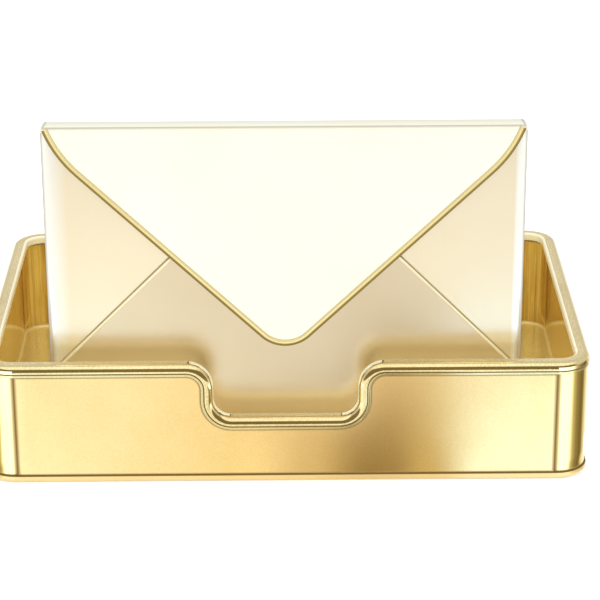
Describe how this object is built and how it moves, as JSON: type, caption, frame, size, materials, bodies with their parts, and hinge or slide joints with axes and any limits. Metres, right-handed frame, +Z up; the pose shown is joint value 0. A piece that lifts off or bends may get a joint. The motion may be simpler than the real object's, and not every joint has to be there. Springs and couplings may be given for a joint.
{
  "type": "envelope desk tray",
  "caption": "Low rectangular desk tray with rounded corners and a finger notch in front, and an envelope-shaped metal pocket with a hinged flap standing in it.",
  "frame": {"origin": "on the desk under the middle of the tray, at the height of the feet's undersides", "axes": "+X to the right seen from the front, +Y from the notched front wall to the rear wall, +Z up"},
  "size_m": [0.295, 0.186, 0.1754],
  "materials": {
    "satin_gold": "gold-anodised, fine satin grain",
    "polished_gold": "polished and lacquered",
    "pale_gold": "polished, pale gold plate",
    "champagne": "champagne-anodised, satin",
    "ivory_champagne": "ivory champagne, satin",
    "hinge_brass": "drawn, satin",
    "rubber": "matte black",
    "screw_steel": "zinc-plated"
  },
  "bodies": {
    "tray": {"base_plate": "satin_gold", "floor_plate": "satin_gold", "front_wall": "satin_gold", "wall_wrap": "satin_gold", "front_rim": "polished_gold", "rim_wrap": "polished_gold", "envelope_cradle": "satin_gold", "foot_front_left": "rubber", "foot_front_right": "rubber", "foot_rear_left": "rubber", "foot_rear_right": "rubber", "base_screws": "screw_steel", "cradle_screws": "screw_steel"},
    "envelope": {"envelope_back": "champagne", "left_side_flap": "champagne", "right_side_flap": "champagne", "bottom_flap": "champagne", "bottom_flap_bead": "pale_gold", "hinge_back_leaf": "hinge_brass", "hinge_pin": "hinge_brass"},
    "flap": {"flap_panel": "ivory_champagne", "flap_bead": "polished_gold", "hinge_flap_leaf": "hinge_brass"}
  },
  "joints": [
    {"name": "envelope_lift", "type": "slide", "parent": "tray", "child": "envelope", "axis": [0, 0, 1], "range_m": [0, 0.075]},
    {"name": "flap_hinge", "type": "hinge", "parent": "envelope", "child": "flap", "pos_m": [0, -0.0648, 0.1697], "axis": [-1, 0, 0], "range_deg": [0, 185]}
  ]
}
